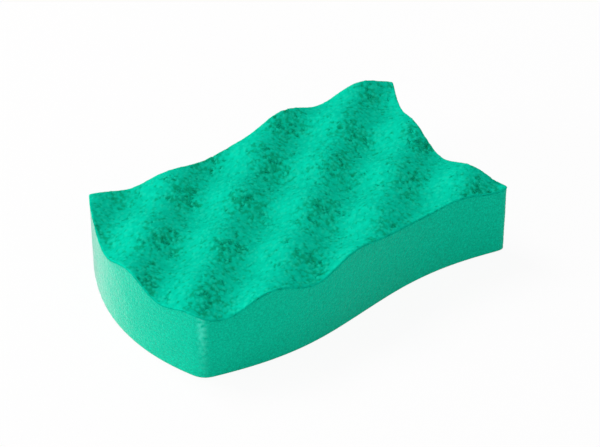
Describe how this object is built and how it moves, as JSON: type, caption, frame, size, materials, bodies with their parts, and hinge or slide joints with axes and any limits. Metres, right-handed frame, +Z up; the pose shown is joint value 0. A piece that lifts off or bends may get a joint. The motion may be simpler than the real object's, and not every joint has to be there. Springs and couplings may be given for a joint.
{
  "type": "kitchen scrub sponge",
  "caption": "Foam scrub sponge die-cut to a curved outline, with an egg-crate top face covered by a thin scouring pad and a flat underside.",
  "frame": {"origin": "on the flat underside, in the middle of the overall length and width", "axes": "+X along the sponge towards the hollowed end, +Y across it towards the long side away from the blunt rounded corner, +Z up from the foam underside to the scouring pad"},
  "size_m": [0.1132, 0.0694, 0.0259],
  "materials": {
    "green_foam": "matt, fine-pored open-cell foam",
    "green_abrasive": "matt nonwoven abrasive fibre"
  },
  "bodies": {
    "root": {"foam_body": "green_foam", "scouring_pad": "green_abrasive"}
  },
  "joints": []
}
